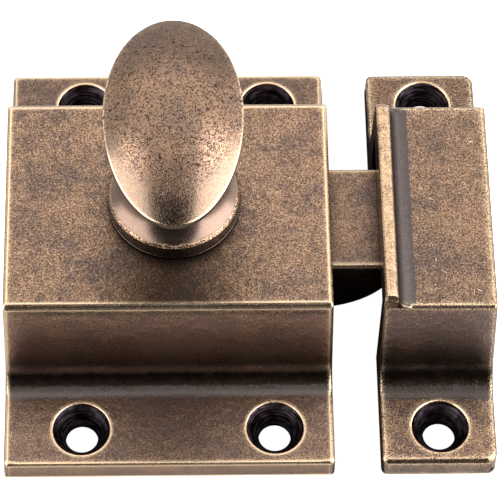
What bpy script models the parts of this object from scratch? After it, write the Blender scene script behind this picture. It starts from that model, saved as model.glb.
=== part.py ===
"""Surface-mounted cupboard turn latch: cast case, oval turn knob, sprung bolt and separate strike.

Frame: +Z out of the mounting surface, which is z = 0. The spindle's axis is the Z axis.
+X points to the strike, Y runs up and down the door. Turning the knob about +Z draws the bolt in along -X.
"""

import math

import bmesh
import bpy
from mathutils import Matrix, Vector

MM = 0.001

# Overall, shared by the case and the strike
FLANGE_LENGTH = 50.8 * MM
FLANGE_THICK = 2.9 * MM
HOLE_ROW_Y = 21.03 * MM
SCREW_HOLE_R = 1.76 * MM
COUNTERSINK_R = 3.16 * MM
COUNTERSINK_FLOOR = 0.78 * MM
SIDE_DRAFT = 0.32 * MM
EDGE_ROUND = 0.5 * MM
RIDGE_ANGLE = math.radians(45.0)
COVE_STEPS = 6
CLEARANCE = 0.3 * MM

# Case
CASE_X = (-18.72 * MM, 17.36 * MM)
CASE_HEIGHT = 15.6 * MM
CASE_TOP_HALF = 13.05 * MM
CASE_COVE_END = 17.3 * MM
CASE_COVE_R = 3.0 * MM
CASE_HOLE_X = 0.31 * MM
CASE_HOLE_HALF_SPACING = 10.56 * MM
CAVITY_X = (-16.5 * MM, 15.0 * MM)
CAVITY_HALF = 10.8 * MM
CAVITY_TOP = 13.2 * MM

# Strike
STRIKE_X = (22.45 * MM, 35.06 * MM)
STRIKE_HEIGHT = 14.9 * MM
STRIKE_TOP_HALF = 12.9 * MM
STRIKE_COVE_END = 17.7 * MM
STRIKE_COVE_R = 3.2 * MM
STRIKE_HOLE_X = 28.91 * MM
STRIKE_WALL = 2.1 * MM
LIP_WIDTH = 1.5 * MM
LIP_HEIGHT = 2.0 * MM
LIP_COVE = 2.0 * MM
LIP_COVE_ARC = (192.0, 270.0)

# Bolt: a quarter-round nose block on a window frame that surrounds the cam
BOLT_HALF_WIDTH = 6.35 * MM
BOLT_Z = (3.2 * MM, 12.4 * MM)
NOSE_R = BOLT_Z[1] - BOLT_Z[0]
NOSE_CENTRE_X = 15.2 * MM
NOSE_ARC = (-90.0, -4.0)
NOSE_STEPS = 14
NOSE_OVERLAP = 0.2 * MM
FRAME_X = (-5.8 * MM, CAVITY_X[1] - CLEARANCE)
FRAME_HALF = 10.3 * MM
FRAME_Z = (6.4 * MM, 9.4 * MM)
WINDOW_X = (-3.4 * MM, 13.4 * MM)
WINDOW_HALF = 8.9 * MM
SLOT_GAP = 0.4 * MM

# Spindle and cam
SPINDLE_R = 2.6 * MM
SPINDLE_Z = (6.7 * MM, 25.0 * MM)
SQUARE_SIDE = 3.6 * MM
SHOULDER_Z = 9.5 * MM
BOSS_R = 5.2 * MM
BOSS_FLOOR = 9.9 * MM
SPINDLE_END_ROUND = 0.3 * MM
CAM_Z = (6.6 * MM, 9.2 * MM)
CAM_FLAT = 3.1 * MM
LIFT_PER_RADIAN = 3.5 * MM
TURN_LIMIT = math.radians(75.0)
CAM_HUB_R = 4.3 * MM
CAM_HUB_ARC = (35.0, 0.0)
CAM_TIP = (2.7 * MM, 7.75 * MM)
CAM_SCREW_BORE_R = 1.15 * MM
CAM_SCREW_BORE_DEPTH = 3.0 * MM
CAM_SCREW_HEAD_R = 2.5 * MM
CAM_SCREW_HEAD_Z = (4.0 * MM, 5.4 * MM)
CAM_SCREW_EDGE = 0.4 * MM
CAM_SCREW_REACH = 2.5 * MM
CAM_WASHER_R = 3.0 * MM
CAM_WASHER_THICK = 0.6 * MM
CAM_SLOT = (0.6 * MM, 0.7 * MM)

# Knob
FOOT_R = 7.13 * MM
FOOT_EDGE = 0.25 * MM
FOOT_Z = (16.15 * MM, 17.87 * MM)
FOOT_FLARE = math.radians(62.0)
NECK_R = 4.5 * MM
NECK_Z = (22.8 * MM, 24.5 * MM)
HEAD_HALF_WIDTH = 7.38 * MM
HEAD_HALF_LENGTH = 12.89 * MM
HEAD_RIM_Z = 31.6 * MM
HEAD_WAIST_RISE = 1.2 * MM
HEAD_BAND = 0.35 * MM
HEAD_FLARE = math.radians(80.0)
KNOB_TOP = 35.6 * MM
KNOB_SIDES = 40
KNOB_STEPS = 7
WASHER_GAP = 0.12 * MM
WASHER_R = 7.18 * MM

# Spring and its guide pin, on the bolt's centre line
SPRING_Z = sum(FRAME_Z) / 2
SPRING_X = (-16.2 * MM, -6.5 * MM)
SPRING_COIL_R = 2.6 * MM
SPRING_WIRE_R = 0.35 * MM
SPRING_TURNS = 6
SPRING_STEPS_PER_TURN = 14
SEAT_X = (-6.2 * MM, -5.5 * MM)
SEAT_MARGIN = 0.7 * MM
PIN_R = 1.5 * MM
PIN_SHANK_R = 0.9 * MM
PIN_X = (-17.7 * MM, -16.2 * MM, -11.9 * MM)
PIN_HOLE_DEPTH = 1.5 * MM

# Back plate and its screws
PLATE_THICK = 1.2 * MM
LUG_SIZE = 4.2 * MM
LUG_Z = (1.5 * MM, 6.0 * MM)
LUG_X = (-13.9 * MM, 11.0 * MM)
LUG_Y = 8.7 * MM
PLATE_SCREW_R = 0.9 * MM
PLATE_SCREW_HEAD_R = 1.9 * MM
PLATE_SCREW_SUNK = 0.05 * MM
PLATE_HOLE_LAND = 0.1 * MM
PLATE_SLOT = (0.5 * MM, 0.4 * MM)

ROUND_SIDES = 32
SMALL_SIDES = 16
SHARP_ANGLE = math.radians(35.0)
SLOT_REACH = 3.0 * MM


def clear_scene():
    for item in list(bpy.data.objects):
        bpy.data.objects.remove(item, do_unlink=True)


def metal(name, colour, roughness):
    material = bpy.data.materials.new(name)
    material.use_nodes = True
    shader = material.node_tree.nodes["Principled BSDF"]
    shader.inputs["Base Color"].default_value = (*colour, 1.0)
    shader.inputs["Roughness"].default_value = roughness
    shader.inputs["Metallic"].default_value = 1.0
    return material


def object_from(bm, name):
    """Closes the bmesh into a new object with outward normals and smooth round faces."""
    bmesh.ops.remove_doubles(bm, verts=bm.verts, dist=0.0001 * MM)
    bmesh.ops.recalc_face_normals(bm, faces=bm.faces)
    mesh = bpy.data.meshes.new(name)
    bm.to_mesh(mesh)
    bm.free()
    item = bpy.data.objects.new(name, mesh)
    bpy.context.scene.collection.objects.link(item)
    return item


def finish(item, material, parent=None):
    """Gives a finished sub-part its material, smooth shading and parent."""
    item.data.materials.clear()
    item.data.materials.append(material)
    item.data.shade_smooth()
    item.data.set_sharp_from_angle(angle=SHARP_ANGLE)
    item.parent = parent
    return item


def combine(target, tool, operation):
    """Unites the tool with the target, or subtracts it, and removes the tool."""
    modifier = target.modifiers.new("combine", "BOOLEAN")
    modifier.operation = operation
    modifier.object = tool
    modifier.solver = "EXACT"
    depsgraph = bpy.context.evaluated_depsgraph_get()
    result = bpy.data.meshes.new_from_object(target.evaluated_get(depsgraph))
    target.modifiers.clear()
    target.data = result
    bpy.data.objects.remove(tool, do_unlink=True)


def cut(target, tool):
    combine(target, tool, "DIFFERENCE")


def fuse(target, tool):
    combine(target, tool, "UNION")


def box(name, x, y, z):
    """A box between the low and high values of each axis."""
    bm = bmesh.new()
    bmesh.ops.create_cube(bm, size=1.0)
    size = Vector((x[1] - x[0], y[1] - y[0], z[1] - z[0]))
    centre = Vector((x[0] + x[1], y[0] + y[1], z[0] + z[1])) / 2
    bmesh.ops.scale(bm, vec=size, verts=bm.verts)
    bmesh.ops.translate(bm, vec=centre, verts=bm.verts)
    return object_from(bm, name)


def prism(name, outline, direction):
    """Extrudes a closed outline of points along the direction vector."""
    bm = bmesh.new()
    face = bm.faces.new([bm.verts.new(point) for point in outline])
    extruded = bmesh.ops.extrude_face_region(bm, geom=[face], use_keep_orig=True)
    moved = [part for part in extruded["geom"] if isinstance(part, bmesh.types.BMVert)]
    bmesh.ops.translate(bm, vec=direction, verts=moved)
    return object_from(bm, name)


def turned(name, profile, sides, centre=(0.0, 0.0, 0.0)):
    """Turns a profile of (radius, height) points about Z, through the centre."""
    bm = bmesh.new()
    points = [bm.verts.new((radius, 0.0, height)) for radius, height in profile]
    edges = [bm.edges.new(pair) for pair in zip(points, points[1:])]
    bmesh.ops.spin(bm, geom=points + edges, cent=(0, 0, 0), axis=(0, 0, 1),
                   angle=2 * math.pi, steps=sides, use_merge=True)
    bmesh.ops.translate(bm, vec=centre, verts=bm.verts)
    return object_from(bm, name)


def rod(name, radius, z, sides, centre=(0.0, 0.0)):
    profile = [(0.0, z[0]), (radius, z[0]), (radius, z[1]), (0.0, z[1])]
    return turned(name, profile, sides, (*centre, 0.0))


def ring(name, inner, outer, z, sides):
    profile = [(inner, z[0]), (outer, z[0]), (outer, z[1]), (inner, z[1]), (inner, z[0])]
    return turned(name, profile, sides)


def arc(centre, radius, start, end, steps):
    """Points on an arc in a plane, angles in degrees."""
    angles = [math.radians(start + (end - start) * i / steps) for i in range(steps + 1)]
    return [(centre[0] + radius * math.cos(a), centre[1] + radius * math.sin(a)) for a in angles]


def wall_and_cove(top_half, height, cove_end, cove_r):
    """One side of a hat section, from the flange up: a cove, then a sloping wall to the top edge."""
    top = Vector((top_half, height))
    centre = Vector((cove_end, FLANGE_THICK + cove_r))
    to_centre = centre - top
    slope = math.atan2(to_centre.y, to_centre.x) - math.asin(cove_r / to_centre.length)
    return arc(centre, cove_r, 270.0, 270.0 + math.degrees(slope), COVE_STEPS) + [tuple(top)]


def hat_section(name, x, top_half, height, cove_end, cove_r, left_draft):
    """A flanged casting: its YZ section runs along X, and its end faces lean in by the draft."""
    side = wall_and_cove(top_half, height, cove_end, cove_r)
    half = FLANGE_LENGTH / 2
    right = [(half, 0.0), (half, FLANGE_THICK)] + side
    left = [(-y, z) for y, z in reversed(right)]
    casting = prism(name, [(x[0], y, z) for y, z in right + left], (x[1] - x[0], 0.0, 0.0))
    bm = bmesh.new()
    bm.from_mesh(casting.data)
    middle = sum(x) / 2
    for vert in bm.verts:
        lean = vert.co.z / height
        vert.co.x += left_draft * lean if vert.co.x < middle else -SIDE_DRAFT * lean
    rounded = [edge for edge in bm.edges
               if edge.is_convex and edge.calc_face_angle() > RIDGE_ANGLE
               and max(vert.co.z for vert in edge.verts) > FLANGE_THICK / 2]
    bmesh.ops.bevel(bm, geom=rounded, offset=EDGE_ROUND, segments=2, profile=0.5, affect="EDGES")
    bm.to_mesh(casting.data)
    bm.free()
    return casting


def cut_screw_hole(casting, x, y):
    """A countersunk hole for a wood screw, through a flange."""
    above = FLANGE_THICK + EDGE_ROUND
    profile = [(0.0, -MM), (SCREW_HOLE_R, -MM), (SCREW_HOLE_R, COUNTERSINK_FLOOR),
               (COUNTERSINK_R, FLANGE_THICK), (COUNTERSINK_R, above), (0.0, above)]
    cut(casting, turned("screw_hole", profile, ROUND_SIDES, (x, y, 0.0)))


def lug_centres():
    return [(x, y) for x in LUG_X for y in (-LUG_Y, LUG_Y)]


def make_case():
    case = hat_section("latch_case", CASE_X, CASE_TOP_HALF, CASE_HEIGHT, CASE_COVE_END, CASE_COVE_R,
                       SIDE_DRAFT)
    cut(case, box("cavity", CAVITY_X, (-CAVITY_HALF, CAVITY_HALF), (-MM, CAVITY_TOP)))
    fuse(case, rod("boss", BOSS_R, (BOSS_FLOOR, CAVITY_TOP + MM), ROUND_SIDES))
    reach = LUG_SIZE / 2
    for x, y in lug_centres():
        lug_x = (CAVITY_X[0] - MM, x + reach) if x < 0 else (x - reach, CAVITY_X[1] + MM)
        lug_y = (y - reach, CAVITY_HALF + MM) if y > 0 else (-CAVITY_HALF - MM, y + reach)
        fuse(case, box("lug", lug_x, lug_y, LUG_Z))
    for x, y in lug_centres():
        bore_r = PLATE_SCREW_R + CLEARANCE
        cut(case, rod("lug_bore", bore_r, (LUG_Z[0] - MM, LUG_Z[1] + MM), SMALL_SIDES, (x, y)))
    cut(case, rod("spindle_bore", SPINDLE_R + CLEARANCE, (BOSS_FLOOR - MM, CASE_HEIGHT + MM),
                  ROUND_SIDES))
    slot_half = BOLT_HALF_WIDTH + SLOT_GAP
    cut(case, box("bolt_slot", (CAVITY_X[1] - MM, CASE_X[1] + MM), (-slot_half, slot_half),
                  (BOLT_Z[0] - SLOT_GAP, BOLT_Z[1] + SLOT_GAP)))
    pin_hole = rod("pin_hole", PIN_SHANK_R + CLEARANCE, (0.0, PIN_HOLE_DEPTH + MM), SMALL_SIDES)
    pin_hole.data.transform(along_x(CAVITY_X[0] - PIN_HOLE_DEPTH))
    cut(case, pin_hole)
    for side in (-1, 1):
        for row in (-1, 1):
            cut_screw_hole(case, CASE_HOLE_X + side * CASE_HOLE_HALF_SPACING, row * HOLE_ROW_Y)
    return case


def lip_outline():
    """XZ outline of the strike's raised lip and the cove that runs down from it to the flat top."""
    x0 = STRIKE_X[0]
    crown = STRIKE_HEIGHT + LIP_HEIGHT
    inside = STRIKE_HEIGHT - STRIKE_WALL / 2
    edge = LIP_WIDTH / 4
    cove_centre = (x0 + LIP_WIDTH + LIP_COVE, STRIKE_HEIGHT + LIP_COVE)
    cove = arc(cove_centre, LIP_COVE, *LIP_COVE_ARC, COVE_STEPS)
    outer = [(x0, inside), (x0, crown - edge), (x0 + edge, crown), (x0 + LIP_WIDTH - edge, crown)]
    return outer + cove + [(cove[-1][0], inside)]


def make_strike():
    strike = hat_section("strike", STRIKE_X, STRIKE_TOP_HALF, STRIKE_HEIGHT, STRIKE_COVE_END,
                         STRIKE_COVE_R, 0.0)
    lip_half = STRIKE_TOP_HALF - EDGE_ROUND / 2
    outline = [(x, -lip_half, z) for x, z in lip_outline()]
    fuse(strike, prism("lip", outline, (0.0, 2 * lip_half, 0.0)))
    hollow_half = STRIKE_TOP_HALF - STRIKE_WALL
    cut(strike, box("hollow", (STRIKE_X[0] - MM, STRIKE_X[1] - STRIKE_WALL), (-hollow_half, hollow_half),
                    (-MM, STRIKE_HEIGHT - STRIKE_WALL)))
    for row in (-1, 1):
        cut_screw_hole(strike, STRIKE_HOLE_X, row * HOLE_ROW_Y)
    return strike


def make_back_plate():
    plate = box("back_plate", (CAVITY_X[0] + CLEARANCE, CAVITY_X[1] - CLEARANCE),
                (CLEARANCE - CAVITY_HALF, CAVITY_HALF - CLEARANCE), (0.0, PLATE_THICK))
    shank = PLATE_SCREW_R + CLEARANCE
    head = PLATE_SCREW_HEAD_R + CLEARANCE
    above = PLATE_THICK + MM
    profile = [(0.0, -MM), (head, -MM), (head, PLATE_HOLE_LAND), (shank, PLATE_THICK - PLATE_HOLE_LAND),
               (shank, above), (0.0, above)]
    for x, y in lug_centres():
        cut(plate, turned("plate_hole", profile, SMALL_SIDES, (x, y, 0.0)))
    return plate


def make_plate_screw(number, x, y):
    """A small countersunk screw with a slotted head, entering from the back."""
    taper_end = PLATE_SCREW_HEAD_R - PLATE_SCREW_R
    tip = LUG_Z[1] - CLEARANCE
    profile = [(0.0, PLATE_SCREW_SUNK), (PLATE_SCREW_HEAD_R, PLATE_SCREW_SUNK), (PLATE_SCREW_R, taper_end),
               (PLATE_SCREW_R, tip - PLATE_SCREW_R / 2), (PLATE_SCREW_R / 2, tip), (0.0, tip)]
    screw = turned(f"back_plate_screw_{number}", profile, SMALL_SIDES, (x, y, 0.0))
    slot_half = PLATE_SLOT[0] / 2
    cut(screw, box("drive_slot", (x - SLOT_REACH, x + SLOT_REACH), (y - slot_half, y + slot_half),
                   (-MM, PLATE_SLOT[1])))
    return screw


def along_x(start):
    """Lays a shape turned about Z along +X, at the spring's height."""
    return Matrix.Translation((start, 0.0, SPRING_Z)) @ Matrix.Rotation(math.pi / 2, 4, "Y")


def make_guide_pin():
    shank, shoulder, tip = (x - PIN_X[0] for x in PIN_X)
    round_off = PIN_R / 4
    profile = [(0.0, shank), (PIN_SHANK_R, shank), (PIN_SHANK_R, shoulder), (PIN_R, shoulder),
               (PIN_R, tip - round_off), (PIN_R - round_off, tip), (0.0, tip)]
    pin = turned("spring_guide_pin", profile, SMALL_SIDES)
    pin.data.transform(along_x(PIN_X[0]))
    return pin


def make_spring():
    """A compression spring of round wire, between the case's rear wall and the bolt's seat."""
    curve = bpy.data.curves.new("bolt_spring", "CURVE")
    curve.dimensions = "3D"
    curve.bevel_depth = SPRING_WIRE_R
    curve.bevel_resolution = 1
    curve.use_fill_caps = True
    count = SPRING_TURNS * SPRING_STEPS_PER_TURN
    line = curve.splines.new("POLY")
    line.points.add(count)
    start = SPRING_X[0] + SPRING_WIRE_R
    end = SPRING_X[1] - SPRING_WIRE_R
    for i in range(count + 1):
        angle = 2 * math.pi * i / SPRING_STEPS_PER_TURN
        x = start + (end - start) * i / count
        y = SPRING_COIL_R * math.cos(angle)
        z = SPRING_Z + SPRING_COIL_R * math.sin(angle)
        line.points[i].co = (x, y, z, 1.0)
    guide = bpy.data.objects.new("spring_curve", curve)
    bpy.context.scene.collection.objects.link(guide)
    depsgraph = bpy.context.evaluated_depsgraph_get()
    bm = bmesh.new()
    bm.from_mesh(bpy.data.meshes.new_from_object(guide.evaluated_get(depsgraph)))
    bpy.data.objects.remove(guide, do_unlink=True)
    return object_from(bm, "bolt_spring")


def make_bolt():
    nose_back = WINDOW_X[1] + NOSE_OVERLAP
    curve = arc((NOSE_CENTRE_X, BOLT_Z[1]), NOSE_R, *NOSE_ARC, NOSE_STEPS)
    outline = [(nose_back, BOLT_Z[0])] + curve + [(curve[-1][0], BOLT_Z[1]), (nose_back, BOLT_Z[1])]
    bolt = prism("latch_bolt", [(x, -BOLT_HALF_WIDTH, z) for x, z in outline],
                 (0.0, 2 * BOLT_HALF_WIDTH, 0.0))
    frame = box("frame", FRAME_X, (-FRAME_HALF, FRAME_HALF), FRAME_Z)
    cut(frame, box("window", WINDOW_X, (-WINDOW_HALF, WINDOW_HALF), (0.0, CASE_HEIGHT)))
    seat_half = SPRING_COIL_R + SEAT_MARGIN
    fuse(frame, box("seat", SEAT_X, (-seat_half, seat_half),
                    (SPRING_Z - seat_half, SPRING_Z + seat_half)))
    fuse(bolt, frame)
    return bolt


def make_spindle():
    """Round shaft with a square lower end for the cam and a screw bore up its middle."""
    end = SPINDLE_Z[1]
    profile = [(0.0, SHOULDER_Z), (SPINDLE_R, SHOULDER_Z), (SPINDLE_R, end - SPINDLE_END_ROUND),
               (SPINDLE_R - SPINDLE_END_ROUND, end), (0.0, end)]
    spindle = turned("spindle", profile, ROUND_SIDES)
    half = SQUARE_SIDE / 2
    fuse(spindle, box("square", (-half, half), (-half, half), (SPINDLE_Z[0], SHOULDER_Z + MM)))
    bore_end = SHOULDER_Z + CAM_SCREW_BORE_DEPTH
    cut(spindle, rod("screw_bore", CAM_SCREW_BORE_R, (SPINDLE_Z[0] - MM, bore_end), SMALL_SIDES))
    return spindle


def cam_flank():
    """Involute flank on +Y: each radian turned pushes a flat follower back by LIFT_PER_RADIAN."""
    steps = 10
    points = []
    for i in range(steps + 1):
        turn = TURN_LIMIT * i / steps
        normal = math.pi - turn
        reach = CAM_FLAT + LIFT_PER_RADIAN * turn
        x = reach * math.cos(normal) + LIFT_PER_RADIAN * math.sin(normal)
        y = reach * math.sin(normal) - LIFT_PER_RADIAN * math.cos(normal)
        points.append((x, y))
    return points


def make_cam():
    """Two mirrored flanks share one flat, so the knob could be turned either way from rest."""
    upper = cam_flank() + [CAM_TIP] + arc((0.0, 0.0), CAM_HUB_R, *CAM_HUB_ARC, 3)
    lower = [(x, -y) for x, y in reversed(upper[:-1])]
    outline = [(x, y, CAM_Z[0]) for x, y in upper + lower]
    cam = prism("bolt_cam", outline, (0.0, 0.0, CAM_Z[1] - CAM_Z[0]))
    half = SQUARE_SIDE / 2 + CLEARANCE
    cut(cam, box("square_hole", (-half, half), (-half, half), (CAM_Z[0] - MM, CAM_Z[1] + MM)))
    return cam


def make_cam_screw():
    head_r = CAM_SCREW_HEAD_R
    low, high = CAM_SCREW_HEAD_Z
    shank_r = CAM_SCREW_BORE_R - CLEARANCE
    tip = SHOULDER_Z + CAM_SCREW_REACH
    profile = [(0.0, low), (head_r - CAM_SCREW_EDGE, low), (head_r, low + CAM_SCREW_EDGE),
               (head_r, high), (shank_r, high), (shank_r, tip), (0.0, tip)]
    screw = turned("cam_screw", profile, SMALL_SIDES)
    width, depth = CAM_SLOT
    cut(screw, box("drive_slot", (-SLOT_REACH, SLOT_REACH), (-width / 2, width / 2),
                   (low - MM, low + depth)))
    return screw


def knob_sections():
    """Half width, half length, height and share of the waist's rise for each section, foot to crown."""
    foot_low, foot_high = FOOT_Z
    inner = FOOT_R - FOOT_EDGE
    sections = [(inner, inner, foot_low, 0.0), (FOOT_R, FOOT_R, foot_low + FOOT_EDGE, 0.0),
                (FOOT_R, FOOT_R, foot_high - FOOT_EDGE, 0.0), (inner, inner, foot_high, 0.0)]
    for i in range(1, KNOB_STEPS + 1):
        angle = FOOT_FLARE * (1 - i / KNOB_STEPS)
        radius = NECK_R + (inner - NECK_R) * (1 - math.cos(angle)) / (1 - math.cos(FOOT_FLARE))
        height = NECK_Z[0] - (NECK_Z[0] - foot_high) * math.sin(angle) / math.sin(FOOT_FLARE)
        sections.append((radius, radius, height, 0.0))
    underside = HEAD_RIM_Z - HEAD_BAND / 2
    for i in range(KNOB_STEPS + 1):
        angle = HEAD_FLARE * i / KNOB_STEPS
        open_share = (1 - math.cos(angle)) / (1 - math.cos(HEAD_FLARE))
        half_width = NECK_R + (HEAD_HALF_WIDTH - NECK_R) * open_share
        half_length = NECK_R + (HEAD_HALF_LENGTH - NECK_R) * open_share
        height = NECK_Z[1] + (underside - NECK_Z[1]) * math.sin(angle) / math.sin(HEAD_FLARE)
        sections.append((half_width, half_length, height, open_share))
    rim_top = underside + HEAD_BAND
    for i in range(KNOB_STEPS):
        share = 1 - i / KNOB_STEPS
        height = rim_top + (KNOB_TOP - rim_top) * (1 - share ** 2)
        sections.append((HEAD_HALF_WIDTH * share, HEAD_HALF_LENGTH * share, height, share ** 2))
    return sections


def make_knob():
    """Oval head on a trumpet neck and a round foot, lofted through oval rings; bored for the spindle."""
    bm = bmesh.new()
    rings = []
    for half_width, half_length, height, rise_share in knob_sections():
        loop = []
        for i in range(KNOB_SIDES):
            angle = 2 * math.pi * i / KNOB_SIDES
            lift = HEAD_WAIST_RISE * rise_share * math.cos(angle) ** 2
            loop.append(bm.verts.new((half_width * math.cos(angle), half_length * math.sin(angle),
                                      height + lift)))
        rings.append(loop)
    for low, high in zip(rings, rings[1:]):
        for i in range(KNOB_SIDES):
            j = (i + 1) % KNOB_SIDES
            bm.faces.new((low[i], low[j], high[j], high[i]))
    bm.faces.new(rings[0])
    crown = bm.verts.new((0.0, 0.0, KNOB_TOP))
    for i in range(KNOB_SIDES):
        bm.faces.new((rings[-1][i], rings[-1][(i + 1) % KNOB_SIDES], crown))
    knob = object_from(bm, "knob")
    cut(knob, rod("spindle_socket", SPINDLE_R + CLEARANCE, (FOOT_Z[0] - MM, SPINDLE_Z[1] + CLEARANCE),
                  ROUND_SIDES))
    return knob


def empty(name):
    item = bpy.data.objects.new(name, None)
    bpy.context.scene.collection.objects.link(item)
    return item


def main():
    clear_scene()
    bronze = metal("antique_bronze", (0.26, 0.17, 0.10), 0.42)
    dark_bronze = metal("dark_bronze", (0.16, 0.11, 0.07), 0.45)
    steel = metal("zinc_plated_steel", (0.60, 0.60, 0.58), 0.35)
    brass = metal("plain_brass", (0.72, 0.50, 0.24), 0.35)

    finish(make_case(), bronze)
    finish(make_strike(), bronze)
    finish(make_back_plate(), steel)
    for number, (x, y) in enumerate(lug_centres(), start=1):
        finish(make_plate_screw(number, x, y), steel)
    finish(make_guide_pin(), steel)
    finish(make_spring(), steel)
    washer_z = (CASE_HEIGHT + WASHER_GAP, FOOT_Z[0] - WASHER_GAP)
    finish(ring("knob_washer", SPINDLE_R + CLEARANCE, WASHER_R, washer_z, ROUND_SIDES), bronze)

    turning = empty("knob_axis")
    finish(make_knob(), bronze, turning)
    finish(make_spindle(), steel, turning)
    finish(make_cam(), brass, turning)
    washer_top = CAM_Z[0] - CLEARANCE
    washer_z = (washer_top - CAM_WASHER_THICK, washer_top)
    finish(ring("cam_washer", CAM_SCREW_BORE_R, CAM_WASHER_R, washer_z, SMALL_SIDES), steel, turning)
    finish(make_cam_screw(), steel, turning)

    sliding = empty("bolt_carriage")
    finish(make_bolt(), dark_bronze, sliding)


main()
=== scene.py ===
"""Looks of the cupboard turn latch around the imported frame: castings, patina, studio light and camera."""

import math

import bmesh
import bpy
from mathutils import Euler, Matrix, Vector


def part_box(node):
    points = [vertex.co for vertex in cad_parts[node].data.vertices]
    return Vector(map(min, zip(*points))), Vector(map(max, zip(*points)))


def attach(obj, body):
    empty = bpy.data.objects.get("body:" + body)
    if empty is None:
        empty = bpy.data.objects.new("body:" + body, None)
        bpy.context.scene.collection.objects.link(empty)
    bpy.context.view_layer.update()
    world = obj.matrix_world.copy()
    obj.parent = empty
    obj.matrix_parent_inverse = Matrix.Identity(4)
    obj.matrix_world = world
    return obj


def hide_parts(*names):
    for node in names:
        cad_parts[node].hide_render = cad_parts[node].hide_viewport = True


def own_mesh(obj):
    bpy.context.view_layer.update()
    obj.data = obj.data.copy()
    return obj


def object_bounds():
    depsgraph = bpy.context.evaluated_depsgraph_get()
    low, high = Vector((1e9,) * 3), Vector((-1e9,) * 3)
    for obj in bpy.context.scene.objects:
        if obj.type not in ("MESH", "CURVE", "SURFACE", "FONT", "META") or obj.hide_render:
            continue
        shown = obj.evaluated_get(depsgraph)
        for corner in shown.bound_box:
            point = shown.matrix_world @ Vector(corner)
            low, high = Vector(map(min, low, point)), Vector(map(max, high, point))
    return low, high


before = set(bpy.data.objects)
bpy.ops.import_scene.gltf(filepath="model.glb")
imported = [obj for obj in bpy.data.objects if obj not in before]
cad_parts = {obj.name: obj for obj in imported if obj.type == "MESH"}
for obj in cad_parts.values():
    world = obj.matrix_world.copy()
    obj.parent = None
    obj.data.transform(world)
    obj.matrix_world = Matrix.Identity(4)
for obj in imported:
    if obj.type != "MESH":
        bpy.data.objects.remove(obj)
cad_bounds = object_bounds()

MM = 0.001
CASE_BODY = "case_assembly"
KNOB_BODY = "knob_assembly"
BOLT_BODY = "bolt_carriage"

# The frame's boxes give the overall sizes, and these constants give the rest.
# Heights are above the mounting surface, and the spindle's axis is x = y = 0.

# Case and strike
FLANGE_THICK = 2.9 * MM
HOLE_ROW_Y = 21.03 * MM
SCREW_HOLE_R = 1.76 * MM
COUNTERSINK_R = 3.16 * MM
COUNTERSINK_FLOOR = 0.78 * MM
SIDE_DRAFT = 0.32 * MM
RIDGE_WORN_ACROSS = 0.09 * MM
RIDGE_WORN_ALONG = 0.06 * MM
CUTTER_MARGIN = MM

# Case
CASE_HOLES_X = (-10.25 * MM, 10.87 * MM)
CASE_TOP_HALF = 13.05 * MM
CASE_COVE = (17.3 * MM, 3.0 * MM)
CASE_CORNER = 0.6 * MM
CASE_TOP_CHAMFER = 0.44 * MM
CASE_FLANGE_CHAMFER = 0.15 * MM
CASE_SIDE_CHAMFER = 0.28 * MM
CASE_RIM_WORN = 0.10 * MM
CAVITY_X = (-16.5 * MM, 15.0 * MM)
CAVITY_HALF = 10.8 * MM
CAVITY_TOP = 13.2 * MM
BOSS_R = 5.2 * MM
BOSS_FLOOR = 9.9 * MM
SPINDLE_BORE_R = 2.9 * MM
SPINDLE_BORE_FLOOR = 9 * MM
LUGS_INNER_X = (-11.8 * MM, 8.9 * MM)
LUGS_INNER_Y = 6.6 * MM
LUG_Z = (1.5 * MM, 6.0 * MM)
LUG_BORES_X = (-13.9 * MM, 11.0 * MM)
LUG_BORES_Y = 8.7 * MM
LUG_BORE_R = 1.2 * MM
LUG_BORE_Z = (0.5 * MM, 7 * MM)
SLOT_HALF = 6.75 * MM
SLOT_Z = (2.8 * MM, 12.8 * MM)

# Strike
STRIKE_HOLE_X = 28.91 * MM
STRIKE_HEIGHT = 14.9 * MM
STRIKE_TOP_HALF = 12.9 * MM
STRIKE_COVE = (17.7 * MM, 3.2 * MM)
STRIKE_WALL = 2.1 * MM
STRIKE_CORNER_BY_CASE = 0.8 * MM
STRIKE_CORNER_OUTSIDE = 1.3 * MM
STRIKE_CHAMFER = 0.25 * MM
STRIKE_RIM_WORN = 0.18 * MM
LIP_WIDTH = 1.5 * MM
LIP_RISE = 2.0 * MM
LIP_COVE_R = 2.0 * MM
LIP_LEFT_R = 0.5 * MM
LIP_RIGHT_R = 0.75 * MM
LIP_FAR_GAP = 0.25 * MM
LIP_FAR_FALL = 1.25 * MM
LIP_NEAR_CHAMFER = 0.30 * MM
LIP_NEAR_DROP = 0.25 * MM

# Knob and its washer
FOOT_R = 7.13 * MM
FOOT_TOP = 17.87 * MM
FOOT_EDGE_R = 0.15 * MM
FOOT_FLARE = math.radians(62.0)
NECK_R = 4.5 * MM
NECK_Z = (22.8 * MM, 24.5 * MM)
HEAD_HALF_WIDTH = 7.38 * MM
HEAD_RIM_Z = 31.6 * MM
HEAD_BAND = 0.35 * MM
HEAD_RIM_R = 0.2 * MM
HEAD_FLARE = math.radians(80.0)
HEAD_WAIST_RISE = 1.2 * MM
SOCKET_R = 2.9 * MM
SOCKET_ROOF = 25.3 * MM
WASHER_BORE_R = 2.9 * MM
WASHER_EDGE_R = 0.1 * MM
KNOB_SIDES = 160

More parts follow.
